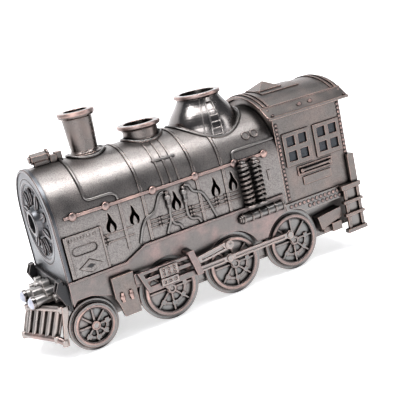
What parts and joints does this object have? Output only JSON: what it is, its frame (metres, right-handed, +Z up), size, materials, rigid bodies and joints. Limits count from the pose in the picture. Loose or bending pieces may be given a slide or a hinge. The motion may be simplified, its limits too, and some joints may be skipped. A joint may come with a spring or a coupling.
{
  "type": "clockwork toy steam locomotive",
  "caption": "Toy steam locomotive with domes, chimney, cab, pilot and lamps over coupled spoked wheels driven by a wound clockwork motor.",
  "frame": {"origin": "on the floor, under the middle of the locomotive: the centre of the base of its bounding box", "axes": "+Z up; +X along the locomotive towards the cab, so the chimney and nose point to -X; +Y across it, towards its own right side, where the winding key is"},
  "size_m": [0.3079, 0.1036, 0.1742],
  "materials": {
    "gunmetal_shell": "gunmetal plating, satin, worn bright on the edges",
    "copper_trim": "antique copper plating over grey metal",
    "bronze_body": "copper-grey antique plating",
    "polished_plate": "polished grey plating",
    "frame_steel": "plain sheet steel",
    "wheel_metal": "grey-blue plating with copper-worn rims",
    "axle_steel": "turned steel with a copper flash",
    "motor_brass": "stamped brass",
    "spring_steel": "blued spring steel",
    "lens_glass": "clear moulded plastic"
  },
  "bodies": {
    "chassis": {"boiler_shell": "gunmetal_shell", "smokebox_front": "copper_trim", "smokebox_door": "gunmetal_shell", "chimney": "gunmetal_shell", "sand_dome": "gunmetal_shell", "steam_dome": "polished_plate", "whistle_unit": "copper_trim", "belt_rails": "copper_trim", "belt_bolts": "copper_trim", "side_pipework": "gunmetal_shell", "step_panels": "bronze_body", "side_springs": "copper_trim", "cab_shell": "bronze_body", "cab_roof": "bronze_body", "roof_vent": "bronze_body", "window_frames": "bronze_body", "body_rivets": "copper_trim", "cab_handrails": "copper_trim", "rear_posts": "copper_trim", "cab_sills": "bronze_body", "valance_left": "bronze_body", "valance_right": "bronze_body", "ribbed_tanks": "polished_plate", "cab_ladders": "bronze_body", "under_cab_boxes": "frame_steel", "bracket_plates": "copper_trim", "bracket_bolts": "copper_trim", "guide_boxes": "polished_plate", "crossheads": "polished_plate", "motion_brackets": "copper_trim", "upper_rods": "polished_plate", "pilot": "bronze_body", "front_beam": "gunmetal_shell", "lamp_barrels": "polished_plate", "lenses": "lens_glass", "main_frame": "frame_steel", "base_plate": "frame_steel", "motor_plates": "frame_steel", "motor_pillars": "motor_brass", "mainspring": "spring_steel"},
    "great_wheel": {"great_wheel": "motor_brass"},
    "click": {"click": "frame_steel"},
    "winder": {"winding_arbor": "frame_steel", "winding_key": "motor_brass"},
    "intermediate": {"intermediate_gear": "motor_brass"},
    "governor": {"governor": "motor_brass"},
    "stop_lever": {"stop_lever": "frame_steel"},
    "pilot_wheelset": {"pilot_wheels": "wheel_metal", "pilot_axle": "axle_steel"},
    "driver1": {"driver1_wheel_left": "wheel_metal", "driver1_wheel_right": "wheel_metal", "driver1_axle_and_pins": "axle_steel"},
    "driver2": {"driver2_wheel_left": "wheel_metal", "driver2_wheel_right": "wheel_metal", "driver2_axle_and_pins": "axle_steel"},
    "driver3": {"driver3_wheel_left": "wheel_metal", "driver3_wheel_right": "wheel_metal", "driver3_axle_and_pins": "axle_steel"},
    "rod_left": {"coupling_rod_left": "polished_plate"},
    "rod_right": {"coupling_rod_right": "polished_plate"}
  },
  "joints": [
    {"name": "driver2_spin", "type": "hinge", "parent": "chassis", "child": "driver2", "pos_m": [0.0181, 0, 0.0257], "axis": [0, 1, 0], "continuous": true},
    {"name": "driver1_spin", "type": "hinge", "parent": "chassis", "child": "driver1", "pos_m": [-0.0409, 0, 0.0257], "axis": [0, 1, 0], "continuous": true},
    {"name": "driver3_spin", "type": "hinge", "parent": "chassis", "child": "driver3", "pos_m": [0.0771, 0, 0.0257], "axis": [0, 1, 0], "continuous": true},
    {"name": "rod_left_pivot", "type": "hinge", "parent": "driver2", "child": "rod_left", "pos_m": [0.01281, -0.0438, 0.03298], "axis": [0, 1, 0], "continuous": true},
    {"name": "rod_right_pivot", "type": "hinge", "parent": "driver2", "child": "rod_right", "pos_m": [0.02538, 0.0438, 0.03099], "axis": [0, 1, 0], "continuous": true},
    {"name": "pilot_spin", "type": "hinge", "parent": "chassis", "child": "pilot_wheelset", "pos_m": [-0.107, 0, 0.0201], "axis": [0, 1, 0], "continuous": true},
    {"name": "intermediate_spin", "type": "hinge", "parent": "chassis", "child": "intermediate", "pos_m": [0.0081, 0, 0.04575], "axis": [0, 1, 0], "continuous": true},
    {"name": "great_wheel_spin", "type": "hinge", "parent": "chassis", "child": "great_wheel", "pos_m": [-0.00391, 0, 0.07324], "axis": [0, 1, 0], "continuous": true},
    {"name": "governor_spin", "type": "hinge", "parent": "chassis", "child": "governor", "pos_m": [0.0277, 0, 0.04973], "axis": [0, 1, 0], "continuous": true},
    {"name": "click_lift", "type": "hinge", "parent": "great_wheel", "child": "click", "pos_m": [0.0076, -0.0057, 0.07324], "axis": [0, 1, 0], "range_deg": [0, 8]},
    {"name": "winding", "type": "hinge", "parent": "chassis", "child": "winder", "pos_m": [-0.00391, 0, 0.07324], "axis": [0, 1, 0], "range_deg": [0, 1440]},
    {"name": "stop_lever_throw", "type": "hinge", "parent": "chassis", "child": "stop_lever", "pos_m": [0.086, 0, 0.04], "axis": [0, 1, 0], "range_deg": [0, 15]}
  ],
  "couplings": [
    {"joint": "driver1_spin", "follows": "driver2_spin", "ratio": 1},
    {"joint": "driver3_spin", "follows": "driver2_spin", "ratio": 1},
    {"joint": "rod_left_pivot", "follows": "driver2_spin", "ratio": -1},
    {"joint": "rod_right_pivot", "follows": "driver2_spin", "ratio": -1},
    {"joint": "intermediate_spin", "follows": "driver2_spin", "ratio": -0.4},
    {"joint": "great_wheel_spin", "follows": "driver2_spin", "ratio": 0.08},
    {"joint": "governor_spin", "follows": "driver2_spin", "ratio": 1.6}
  ]
}
